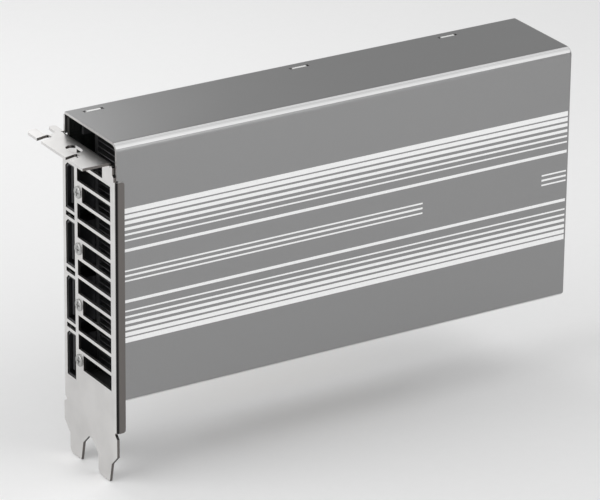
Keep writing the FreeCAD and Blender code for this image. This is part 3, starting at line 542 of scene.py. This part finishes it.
@dataclass(frozen=True)
class SolderMask:
    """Lacquered circuit board: tracks run along and across it under the lacquer."""

    name: str
    lacquer: Colour
    edge: Colour
    track_pitch: float = 0.0011
    face_half: float = 0.00077
    patch_scale: Scale = (120.0, 0.0, 90.0)
    track_half: tuple[float, float] = (0.18, 0.26)
    cover_scale: Scale = (260.0, 0.0, 260.0)
    cover_range: tuple[float, float] = (0.42, 0.5)
    raised_shade: float = 1.9
    raised_share: float = 0.6
    lacquer_roughness: float = 0.3
    edge_roughness: float = 0.75
    track_height: float = 0.00003

    def material(self) -> bpy.types.Material:
        """Builds the material.

        The tracks are bands of a wave whose direction changes from one square patch to the next.
        The cut edge of the board, where the point lies between the two faces, shows bare laminate.
        """
        graph = ShaderGraph(self.name)
        x, y, z = graph.axes()
        across = x.wrapped(self.track_pitch) / self.track_pitch - 0.5
        along = z.wrapped(self.track_pitch) / self.track_pitch - 0.5
        turned = graph.noise(self.patch_scale, 1.0).above(0.5)
        lines_x = abs(across).ramp(*self.track_half)
        lines_z = abs(along).ramp(*self.track_half)
        lines = lines_x * turned + lines_z * (1.0 - turned)
        height = lines * graph.noise(self.cover_scale, 2.0).ramp(*self.cover_range)
        face = abs(y).above(self.face_half)
        raised = shade(self.lacquer, self.raised_shade)
        colour = graph.mix(height * self.raised_share, self.lacquer, raised)
        graph.set(
            base_color=graph.mix(face, self.edge, colour),
            roughness=self.lacquer_roughness * face + self.edge_roughness * (1.0 - face),
            normal=graph.bump(height, self.track_height),
        )
        return graph.material


class Tone(Enum):
    """Colours that more than one finish uses."""

    DARK = (0.022, 0.022, 0.024)
    GOLD = (0.84, 0.58, 0.20)
    COPPER = (0.78, 0.40, 0.24)


FINISHES = {
    "shroud_paint": SatinCoat("satin_silver_coat_painted_highlight", (0.300, 0.300, 0.301)),
    "bracket_steel": BracketPlating(
        "satin_nickel_painted_shade", (0.70, 0.69, 0.68), 0.34, Lay.ALONG_Z, 0.000003, 0.05),
    "dark_screws": Metal("screw_nickel", (0.46, 0.46, 0.455), 0.42),
    "frame_steel": FrameCoat("dark_frame_coat", (0.06, 0.06, 0.062), 0.45, Lay.ALONG_X, metallic=0.3),
    # The fin and base aluminium take dark colours that stand for the shade inside the duct: painted
    # shade.
    "fin_metal": Metal("fin_aluminium_painted_shade", (0.17, 0.17, 0.175), 0.5, Lay.ALONG_X),
    "base_metal": Metal("milled_aluminium_painted_shade", (0.22, 0.22, 0.225), 0.4, Lay.ALONG_X),
    "gold_contacts": Metal("gold_plating", Tone.GOLD.value, 0.25, Lay.ALONG_Z),
    "chamber_copper": Metal("brown_copper", Tone.COPPER.value, 0.38, Lay.EVEN, 0.000005, 0.2),
    "plated_steel": Metal("bright_plating", (0.70, 0.70, 0.71), 0.24),
    "spring_steel": Metal("spring_steel", (0.46, 0.46, 0.47), 0.3, Lay.ALONG_X),
    "connector_steel": Metal("connector_plating", (0.10, 0.10, 0.105), 0.4, Lay.ALONG_X),
    "pin_metal": Metal("tinned_brass", (0.78, 0.72, 0.56), 0.28, Lay.ALONG_X),
    "silicon": Metal("polished_silicon", (0.20, 0.21, 0.24), 0.12, Lay.EVEN, 0.0, 0.05),
    "backplate_paint": Plastic("black_powder_coat", (0.03, 0.03, 0.032), 0.55, 0.00003, 1400.0),
    "substrate": Plastic("carrier_laminate", (0.03, 0.14, 0.06), 0.4),
    "soft_pads": Plastic("silicone_pad", (0.42, 0.46, 0.50), 0.7),
    "chip_package": Plastic("chip_epoxy", Tone.DARK.value, 0.48),
    "inductor_core": Plastic("pressed_powder", (0.09, 0.09, 0.09), 0.6, 0.00002, 2200.0, 0.3),
    "capacitor_case": Plastic("capacitor_epoxy", (0.05, 0.05, 0.052), 0.5),
    "insulator": Plastic("insulating_film", (0.02, 0.02, 0.02), 0.35),
    "foam": Plastic("cell_foam", (0.03, 0.03, 0.03), 0.9, 0.00006, 1500.0),
    "connector_plastic": Plastic("connector_polymer", Tone.DARK.value, 0.42),
    "socket_plastic": Plastic("socket_nylon", (0.025, 0.025, 0.026), 0.46),
    "board_laminate": SolderMask("dark_solder_mask", (0.010, 0.012, 0.011), (0.014, 0.013, 0.011)),
}


# ---------------------------------------------------------------- mesh building


def box_arrays(low: np.ndarray, high: np.ndarray) -> Arrays:
    """Many blocks at once.

    Each corner takes, on each axis, the low or the high value that its number's bits say.

    Args:
        low: Lowest corners, one row per block.
        high: Highest corners, one row per block.

    Returns:
        Vertices, and faces as rows of four numbers, facing outwards.
    """
    bits = np.array([[(i >> axis) & 1 for axis in range(3)] for i in range(8)])
    vertices = np.where(bits[None, :, :] == 1, high[:, None, :], low[:, None, :]).reshape(-1, 3)
    sides = np.array([
        [0, 2, 3, 1], [4, 5, 7, 6], [0, 1, 5, 4], [2, 6, 7, 3], [0, 4, 6, 2], [1, 3, 7, 5]])
    starts = (np.arange(len(low)) * 8)[:, None, None]
    return vertices, (sides[None, :, :] + starts).reshape(-1, 4)


def ring_arrays(radii: np.ndarray, heights: np.ndarray, angles: np.ndarray) -> Arrays:
    """A closed surface through rings round one axis.

    The point of ring i in direction a is (r cos a, r sin a, h), where r is the ring's radius in that
    direction and h its height. Quads join neighbouring rings, and a flat face closes either end.

    Args:
        radii: One row per ring and one column per direction.
        heights: Each ring's height, in order along the outside from the lower end.
        angles: The directions, anticlockwise.

    Returns:
        Vertices, quads and the two end faces.
    """
    up = np.broadcast_to(heights[:, None], radii.shape)
    points = np.stack([radii * np.cos(angles), radii * np.sin(angles), up], axis=-1)
    index = np.arange(radii.size).reshape(radii.shape)
    after = np.roll(index, -1, axis=1)
    quads = np.stack([index[:-1], after[:-1], after[1:], index[1:]], axis=-1).reshape(-1, 4)
    return points.reshape(-1, 3), quads, np.stack([index[0][::-1], index[-1]])


def repeated(arrays: Arrays, sites: np.ndarray, axes: np.ndarray) -> Arrays:
    """Copies of a shape, turned alike and moved to each site.

    Args:
        arrays: The shape's vertices and its face arrays.
        sites: One row per copy.
        axes: Rows that say where the shape's own X, Y and Z point.

    Returns:
        The vertices and face arrays of all the copies.
    """
    points = arrays[0] @ axes
    moved = (points[None, :, :] + sites[:, None, :]).reshape(-1, 3)
    steps = (np.arange(len(sites)) * len(points))[:, None, None]
    return moved, *((faces[None, :, :] + steps).reshape(-1, faces.shape[1]) for faces in arrays[1:])


def new_piece(
    name: str, arrays: Arrays, material: bpy.types.Material
) -> bpy.types.Object:
    """Makes one piece that rides on the card.

    Args:
        name: The piece's name.
        arrays: Vertices in the card's frame, then one or more arrays of faces.
        material: Its finish.

    Returns:
        The new object.
    """
    vertices = arrays[0]
    faces = [face for group in arrays[1:] for face in group.tolist()]
    mesh = bpy.data.meshes.new(name)
    mesh.from_pydata(vertices.tolist(), [], faces)
    mesh.materials.append(material)
    mesh.update()
    piece = bpy.data.objects.new(name, mesh)
    bpy.context.scene.collection.objects.link(piece)
    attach(piece, "root")
    LOG.info("%s: %d vertices, %d faces", name, len(vertices), len(faces))
    return piece


# ---------------------------------------------------------------- sub-assemblies


class Facing(Enum):
    """Directions that a part's top may face, as the rows that turn it."""

    TO_BRACKET = ((0.0, 0.0, 1.0), (0.0, 1.0, 0.0), (-1.0, 0.0, 0.0))
    TO_BACK = ((0.0, 0.0, 1.0), (1.0, 0.0, 0.0), (0.0, 1.0, 0.0))


@dataclass(frozen=True)
class Fastener:
    """A low round screw head with a cross recess, on a plain shaft."""

    head_r: float
    head_h: float
    shaft_r: float = 0.0
    shaft_length: float = 0.0
    rim: float = 0.00018
    arm_share: float = 0.62
    slot_half: float = 0.0003
    recess_share: float = 0.7
    recess_taper: float = 0.8

    def cross(self, angles: np.ndarray) -> np.ndarray:
        """Radius of the cross in each direction.

        A slot of half width w and half length L ends, in direction a, at the smaller of L / |cos a|
        and w / |sin a|. The cross is the larger of that slot and the same slot a quarter turn on.

        Args:
            angles: The directions.

        Returns:
            The radii.
        """
        along = np.maximum(np.abs(np.cos(angles)), 1e-9)
        aside = np.maximum(np.abs(np.sin(angles)), 1e-9)
        arm = self.head_r * self.arm_share
        level = np.minimum(arm / along, self.slot_half / aside)
        upright = np.minimum(self.slot_half / along, arm / aside)
        return np.maximum(level, upright)

    def arrays(self) -> Arrays:
        """The screw with its axis along Z and the head's seat at height 0."""
        corner = math.atan2(self.slot_half, self.head_r * self.arm_share)
        eighths = [math.pi / 8, math.pi / 4, math.pi * 3 / 8]
        quarter = np.array([0.0, corner, *eighths, math.pi / 2 - corner])
        angles = (quarter[None, :] + (np.arange(4) * math.pi / 2)[:, None]).ravel()
        radii = [self.head_r, self.head_r, self.head_r - self.rim]
        heights = [0.0, self.head_h - self.rim, self.head_h]
        if self.shaft_length > 0.0:
            radii = [self.shaft_r, self.shaft_r] + radii
            heights = [-self.shaft_length, 0.0] + heights
        round_rings = np.array(radii)[:, None] * np.ones(len(angles))
        cross = self.cross(angles)
        rings = np.vstack([round_rings, cross, cross * self.recess_taper])
        heights += [self.head_h, self.head_h * (1.0 - self.recess_share)]
        return ring_arrays(rings, np.array(heights), angles)


class Finisher:
    """Builds each finish once and gives it to the card's own pieces."""

    def __init__(self) -> None:
        """Builds every material and reads which piece takes which slot."""
        self.materials = {slot: finish.material() for slot, finish in FINISHES.items()}
        self.slots = {part["node"]: part["material_slot"] for part in frame["record"]["subparts"]}

    def dress(self, nodes: Sequence[str]) -> None:
        """Gives each named piece the finish of its slot.

        Args:
            nodes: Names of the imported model's pieces.
        """
        for node in nodes:
            materials = frame["nodes"][node].data.materials
            materials.clear()
            materials.append(self.materials[self.slots[node]])
            LOG.info("%s: %s", node, self.slots[node])


@dataclass
class Duct:
    """The folded duct with the painted lines on its front."""

    finisher: Finisher
    line_offsets: tuple[float, ...] = (24.0, 21.8, 19.65, 17.4, 15.3, 13.1, 9.45, 1.85)
    line_widths: tuple[float, ...] = (1.85, 1.5, 1.3, 1.1, 0.75, 0.6, 1.1, 0.6)
    middle_width: float = 0.75
    middle_drop: float = 0.745
    paint_t: float = 0.00001
    line_start_gap: float = 0.0001
    line_end_gap: float = 0.0012
    bare_start: float = 0.124
    bare_end: float = 0.175
    inner_lines: float = 0.003

    def line_bands(self) -> np.ndarray:
        """Start X, end X, low Z and high Z of each painted line.

        The lines lie in mirrored pairs about one level. The innermost ones leave a bare field.
        """
        low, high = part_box("shroud")
        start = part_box("bracket")[1].x + self.line_start_gap
        end = high.x - self.line_end_gap
        level = high.z - (high.z - low.z) * 0.5 - self.middle_drop * MM
        offsets = np.array(self.line_offsets) * MM
        widths = np.array(self.line_widths) * MM
        offsets = np.concatenate([offsets, -offsets, [0.0]])
        widths = np.concatenate([widths, widths, [self.middle_width * MM]])
        bands = []
        for offset, width in zip(offsets, widths):
            spans = [(start, end)]
            if abs(offset) < self.inner_lines:
                spans = [(start, low.x + self.bare_start), (low.x + self.bare_end, end)]
            for span in spans:
                bands.append((*span, level + offset - width / 2, level + offset + width / 2))
        return np.array(bands)

    def build(self) -> None:
        """Dresses the duct and lays the painted lines on its front."""
        self.finisher.dress(["shroud"])
        bands = self.line_bands()
        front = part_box("shroud")[0].y
        ones = np.ones(len(bands))
        low = np.column_stack([bands[:, 0], ones * (front - self.paint_t), bands[:, 2]])
        high = np.column_stack([bands[:, 1], ones * front, bands[:, 3]])
        paint = Paint("white_line_paint", (0.95, 0.95, 0.95)).material()
        new_piece("painted_lines", box_arrays(low, high), paint)


@dataclass
class SlotBracket:
    """The slot bracket, its screws and the display outputs behind it."""

    finisher: Finisher
    outputs: int = 4
    screw: Fastener = Fastener(0.0022, 0.0006, 0.0012, 0.0028)
    blade_from_board: float = 0.00145
    blade_half: float = 0.0006
    insert_gap: float = 0.00045
    contacts_per_row: int = 10
    contact_width: float = 0.0007
    contact_pitch: float = 0.0011
    contact_t: float = 0.00004
    contact_length: float = 0.008
    contact_inset: float = 0.0005

    def build(self) -> None:
        """Dresses the bracket and outputs, drives the screws and lays the contacts on each blade."""
        self.finisher.dress(["bracket"])
        self.screws()
        for number in range(1, self.outputs + 1):
            self.finisher.dress([f"displayport_shell_{number}", f"displayport_insert_{number}"])
            self.blade_contacts(number)

    def screws(self) -> None:
        """Cross-recessed screws, level with the middle of each output."""
        low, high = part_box("bracket_screws")
        boxes = [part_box(f"displayport_shell_{number}") for number in range(1, self.outputs + 1)]
        middles = np.array([(box[0].z + box[1].z) / 2 for box in boxes])
        sites = np.column_stack([
            np.full(self.outputs, low.x + self.screw.head_h),
            np.full(self.outputs, (low.y + high.y) / 2), middles])
        arrays = repeated(self.screw.arrays(), sites, np.array(Facing.TO_BRACKET.value))
        piece = new_piece("output_screws", arrays, self.finisher.materials["dark_screws"])
        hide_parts("bracket_screws")

    def blade_contacts(self, number: int) -> None:
        """Contact strips on both faces of one output's blade.

        The strips stand at even steps along Z, on two planes either side of the blade's middle.

        Args:
            number: The output's number, from the top.
        """
        low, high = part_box(f"displayport_insert_{number}")
        middle_z = (low.z + high.z) / 2
        blade_middle = high.y + self.insert_gap - self.blade_from_board
        steps = (np.arange(self.contacts_per_row) - (self.contacts_per_row - 1) / 2) * self.contact_pitch
        count = len(steps)
        corners_low = []
        corners_high = []
        for side in (-1, 1):
            face = blade_middle + side * self.blade_half
            y = np.sort([face, face + side * self.contact_t])
            x = low.x + self.contact_inset
            corners_low.append(np.column_stack([
                np.full(count, x), np.full(count, y[0]), middle_z + steps - self.contact_width / 2]))
            corners_high.append(np.column_stack([
                np.full(count, x + self.contact_length), np.full(count, y[1]),
                middle_z + steps + self.contact_width / 2]))
        arrays = box_arrays(np.concatenate(corners_low), np.concatenate(corners_high))
        gold = self.finisher.materials["gold_contacts"]
        new_piece(f"blade_contacts_{number}", arrays, gold)


@dataclass(frozen=True)
class ChipSize:
    """A tiny two-ended part: length between its ends, width, height and length of an end."""

    length: float
    width: float
    height: float
    end: float


@dataclass
class CircuitBoard:
    """The circuit board with everything soldered to it."""

    finisher: Finisher
    coupler: ChipSize = ChipSize(0.0010, 0.0005, 0.0005, 0.00025)
    coupler_pitch: float = 0.0020
    coupler_rise: float = 0.0022
    filler: ChipSize = ChipSize(0.0016, 0.0008, 0.00045, 0.0003)
    filler_pitch: float = 0.0034
    filler_rise: float = 0.0052
    filler_share: float = 0.72
    bulk: ChipSize = ChipSize(0.0020, 0.00125, 0.0011, 0.0004)
    bulk_columns: int = 6
    bulk_rows: int = 4
    bulk_pitch: tuple[float, float] = (0.0031, 0.0027)
    bulk_offset: float = 0.0235
    coupler_inset: float = 0.002
    filler_inset: float = 0.001
    filler_beyond: float = 0.036
    cap_lip_share: float = 0.04
    seed: int = 7

    def build(self) -> None:
        """Dresses the board and its parts, and solders the small ones to it."""
        self.couplers()
        self.window_parts()
        self.finisher.dress([
            "circuit_board", "edge_contacts", "gpu_substrate", "gpu_die", "gpu_thermal_sheet",
            "memory_chips", "memory_pads", "power_stages", "power_stage_pads", "power_inductors",
            "inductor_pads", "polymer_capacitors", "controller_chips",
        ])

    def solder(self, name: str, sites: np.ndarray, size: ChipSize, side: int) -> None:
        """Adds two-ended parts that stand upright along Z.

        Each part is a body between two end caps, and each cap is a little larger than the body.

        Args:
            name: Start of the pieces' names.
            sites: Rows of X and Z, one per part.
            size: The part's sizes.
            side: 1 on the back of the board and -1 on its front.
        """
        low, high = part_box("circuit_board")
        face = high.y if side > 0 else low.y
        count = len(sites)
        lip = size.width * self.cap_lip_share
        half = size.length / 2

        def blocks(z_low: float, z_high: float, inset: float) -> tuple[np.ndarray, np.ndarray]:
            """Corners of one block per site.

            Args:
                z_low: The block's lower end, from the site.
                z_high: Its upper end, from the site.
                inset: How far its sides and top lie inside the part's.

            Returns:
                The lowest and the highest corners.
            """
            y = np.sort([face, face + side * (size.height - inset)])
            wide = size.width / 2 - inset
            return (
                np.column_stack([sites[:, 0] - wide, np.full(count, y[0]), sites[:, 1] + z_low]),
                np.column_stack([sites[:, 0] + wide, np.full(count, y[1]), sites[:, 1] + z_high]),
            )

        body = blocks(size.end - half, half - size.end, lip)
        ends = [blocks(-half, size.end - half, 0.0), blocks(half - size.end, half, 0.0)]
        ceramic = self.finisher.materials["capacitor_case"]
        tin = self.finisher.materials["plated_steel"]
        caps = box_arrays(*(np.concatenate(corner) for corner in zip(*ends)))
        new_piece(f"{name}_bodies", box_arrays(*body), ceramic)
        new_piece(f"{name}_ends", caps, tin)

    def couplers(self) -> None:
        """Rows of small parts on both sides of the board, over the edge contacts."""
        low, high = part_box("edge_contacts")
        random = np.random.default_rng(self.seed)
        x = np.arange(low.x + self.coupler_inset, high.x - self.coupler_inset, self.coupler_pitch)
        self.solder("coupling_parts", np.column_stack([x, np.full(len(x), high.z + self.coupler_rise)]),
                    self.coupler, -1)
        for side, name in ((-1, "front_fillers"), (1, "back_fillers")):
            x = np.arange(low.x + self.filler_inset, high.x + self.filler_beyond, self.filler_pitch)
            kept = x[random.random(len(x)) < self.filler_share]
            rise = high.z + self.filler_rise
            self.solder(name, np.column_stack([kept, np.full(len(kept), rise)]), self.filler, side)

    def window_parts(self) -> None:
        """Blocks of capacitors behind the processor, between the spring's arms."""
        low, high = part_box("retention_spring")
        middle = np.array([(low.x + high.x) / 2, (low.z + high.z) / 2])
        across = (np.arange(self.bulk_columns) - (self.bulk_columns - 1) / 2) * self.bulk_pitch[0]
        along = (np.arange(self.bulk_rows) - (self.bulk_rows - 1) / 2) * self.bulk_pitch[1]
        grid = np.stack(np.meshgrid(across, along), axis=-1).reshape(-1, 2)
        offsets = np.array([[0.0, self.bulk_offset], [0.0, -self.bulk_offset]])
        sites = (grid[None, :, :] + offsets[:, None, :]).reshape(-1, 2) + middle
        self.solder("window_capacitors", sites, self.bulk, 1)


@dataclass
class Heatsink:
    """The support frame, vapour chamber, base plate and fins."""

    finisher: Finisher

    def build(self) -> None:
        """Dresses the heatsink's pieces."""
        self.finisher.dress([
            "support_frame", "base_standoffs", "vapour_chamber", "heatsink_base", "fin_stack",
        ])


@dataclass
class BackSide:
    """The back cover and the retention spring."""

    finisher: Finisher
    cover_screw: Fastener = Fastener(0.0019, 0.00055)
    cover_screw_inset: tuple[float, float] = (0.007, 0.0045)
    lip_screw_inset: float = 0.012

    def cover_screws(self) -> None:
        """Screw heads along the back cover's upper and lower edges, and along the duct's rear lip."""
        low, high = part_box("backplate")
        inset_x, inset_z = self.cover_screw_inset
        columns = np.array([low.x + inset_x, (low.x + high.x) / 2, high.x - inset_x])
        rows = np.array([low.z + inset_z, high.z - inset_z])
        cover = np.stack(np.meshgrid(columns, rows), axis=-1).reshape(-1, 2)
        duct_low, duct_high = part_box("shroud")
        lip_x = np.array([duct_low.x + self.lip_screw_inset, duct_high.x - self.lip_screw_inset])
        lip = np.column_stack([lip_x, np.full(2, (high.z + duct_high.z) / 2)])
        flat = np.concatenate([cover, lip])
        sites = np.column_stack([flat[:, 0], np.full(len(flat), high.y), flat[:, 1]])
        arrays = repeated(self.cover_screw.arrays(), sites, np.array(Facing.TO_BACK.value))
        new_piece("cover_screws", arrays, self.finisher.materials["dark_screws"])

    def build(self) -> None:
        """Dresses the pieces behind the board."""
        self.cover_screws()
        self.finisher.dress([
            "backplate", "backplate_strips", "lip_strip", "retention_pad", "retention_spring",
            "retention_screws",
        ])


@dataclass
class PowerInputs:
    """The two power sockets at the far end."""

    finisher: Finisher
    sockets: int = 2

    def build(self) -> None:
        """Dresses both sockets and their pins."""
        for number in range(1, self.sockets + 1):
            self.finisher.dress([f"power_socket_{number}", f"power_pins_{number}"])


# ---------------------------------------------------------------- studio


@dataclass(frozen=True)
class SoftBox:
    """One rectangular studio lamp."""

    name: str
    place: tuple[float, float, float]
    size: tuple[float, float]
    power: float

    def build(self, aim: Vector) -> None:
        """Hangs the lamp and turns it to the card.

        Args:
            aim: The point that it lights.
        """
        lamp = bpy.data.lights.new(self.name, "AREA")
        lamp.shape = "RECTANGLE"
        lamp.size, lamp.size_y = self.size
        lamp.energy = self.power
        holder = bpy.data.objects.new(self.name, lamp)
        holder.location = self.place
        holder.rotation_euler = (aim - Vector(self.place)).to_track_quat("-Z", "Y").to_euler()
        bpy.context.scene.collection.objects.link(holder)
        LOG.info("%s: %.1f W", self.name, self.power)


@dataclass
class Studio:
    """Pale floor, even room light, soft lamps and the camera."""

    floor_colour: Colour = (0.90, 0.90, 0.90)
    room_colour: Colour = (0.90, 0.90, 0.90)
    room_light: float = 0.56
    floor_half: float = 3.0
    floor_gap: float = 0.0002
    floor_roughness: float = 0.9
    fibre_scale: float = 400.0
    fibre_share: float = 0.01
    azimuth: float = -31.802
    elevation: float = 23.065
    roll: float = 0.616
    distance: float = 1.5753
    lens: float = 266.74
    clip_start: float = 0.1
    aim_shift: tuple[float, float, float] = (-0.0029, -0.0023, 0.0002)
    lamps: tuple[SoftBox, ...] = field(default_factory=lambda: (
        SoftBox("key_lamp", (0.75, -0.75, 1.25), (1.3, 1.0), 5.5),
        SoftBox("front_lamp", (0.2, -0.8, 0.25), (0.53, 0.33), 1.0),
        SoftBox("side_lamp", (-1.3, 0.1, 0.7), (1.4, 1.4), 12.0),
        SoftBox("back_lamp", (0.02, 0.4, 0.36), (0.3, 0.3), 0.45),
    ))

    def build(self) -> None:
        """Builds the floor, the light and the camera."""
        middle = (CAD_BOX[0] + CAD_BOX[1]) / 2
        self.build_floor()
        self.build_room()
        for lamp in self.lamps:
            lamp.build(middle)
        self.build_camera(middle + Vector(self.aim_shift))

    def build_floor(self) -> None:
        """A flat floor just under the card's lowest point."""
        half = self.floor_half
        level = CAD_BOX[0].z - self.floor_gap
        ring = ((-half, -half), (half, -half), (half, half), (-half, half))
        corners = [(*corner, level) for corner in ring]
        mesh = bpy.data.meshes.new("floor")
        mesh.from_pydata(corners, [], [(0, 1, 2, 3)])
        graph = ShaderGraph("floor_paper")
        fibre = graph.noise(even(self.fibre_scale), 3.0)
        paper = graph.varied(fibre, self.floor_colour, self.fibre_share)
        graph.set(base_color=paper, roughness=self.floor_roughness, specular_ior_level=0.0)
        mesh.materials.append(graph.material)
        floor = bpy.data.objects.new("floor", mesh)
        bpy.context.scene.collection.objects.link(floor)

    def build_room(self) -> None:
        """Even light from all round, which is also the pale backdrop over the floor."""
        world = bpy.data.worlds.new("room")
        bpy.context.scene.world = world
        world.use_nodes = True
        graph = NodeGraph(world.node_tree)
        inputs = {"Color": self.room_colour, "Strength": self.room_light}
        light = graph.node("ShaderNodeBackground", {}, inputs)
        graph.node("ShaderNodeOutputWorld", {}, {"Surface": light.outputs["Background"]})

    def build_camera(self, aim: Vector) -> None:
        """Sets the camera at its angle round the card.

        Args:
            aim: The point at the middle of the picture.
        """
        a = math.radians(self.azimuth)
        e = math.radians(self.elevation)
        back = Vector((math.sin(a) * math.cos(e), -math.cos(a) * math.cos(e), math.sin(e)))
        data = bpy.data.cameras.new("camera")
        data.lens = self.lens
        data.clip_start = self.clip_start
        camera = bpy.data.objects.new("camera", data)
        roll = Matrix.Rotation(math.radians(self.roll), 3, "Z")
        turn = back.to_track_quat("Z", "Y").to_matrix() @ roll
        camera.matrix_world = Matrix.Translation(aim + back * self.distance) @ turn.to_4x4()
        bpy.context.scene.collection.objects.link(camera)
        bpy.context.scene.camera = camera


def main() -> None:
    """Builds the sub-assemblies in order, then the studio."""
    logging.basicConfig(level=logging.INFO, format="%(message)s")
    finisher = Finisher()
    Duct(finisher).build()
    SlotBracket(finisher).build()
    CircuitBoard(finisher).build()
    Heatsink(finisher).build()
    BackSide(finisher).build()
    PowerInputs(finisher).build()
    Studio().build()
    bpy.context.scene.view_settings.view_transform = "Standard"


if __name__ == "__main__":
    main()
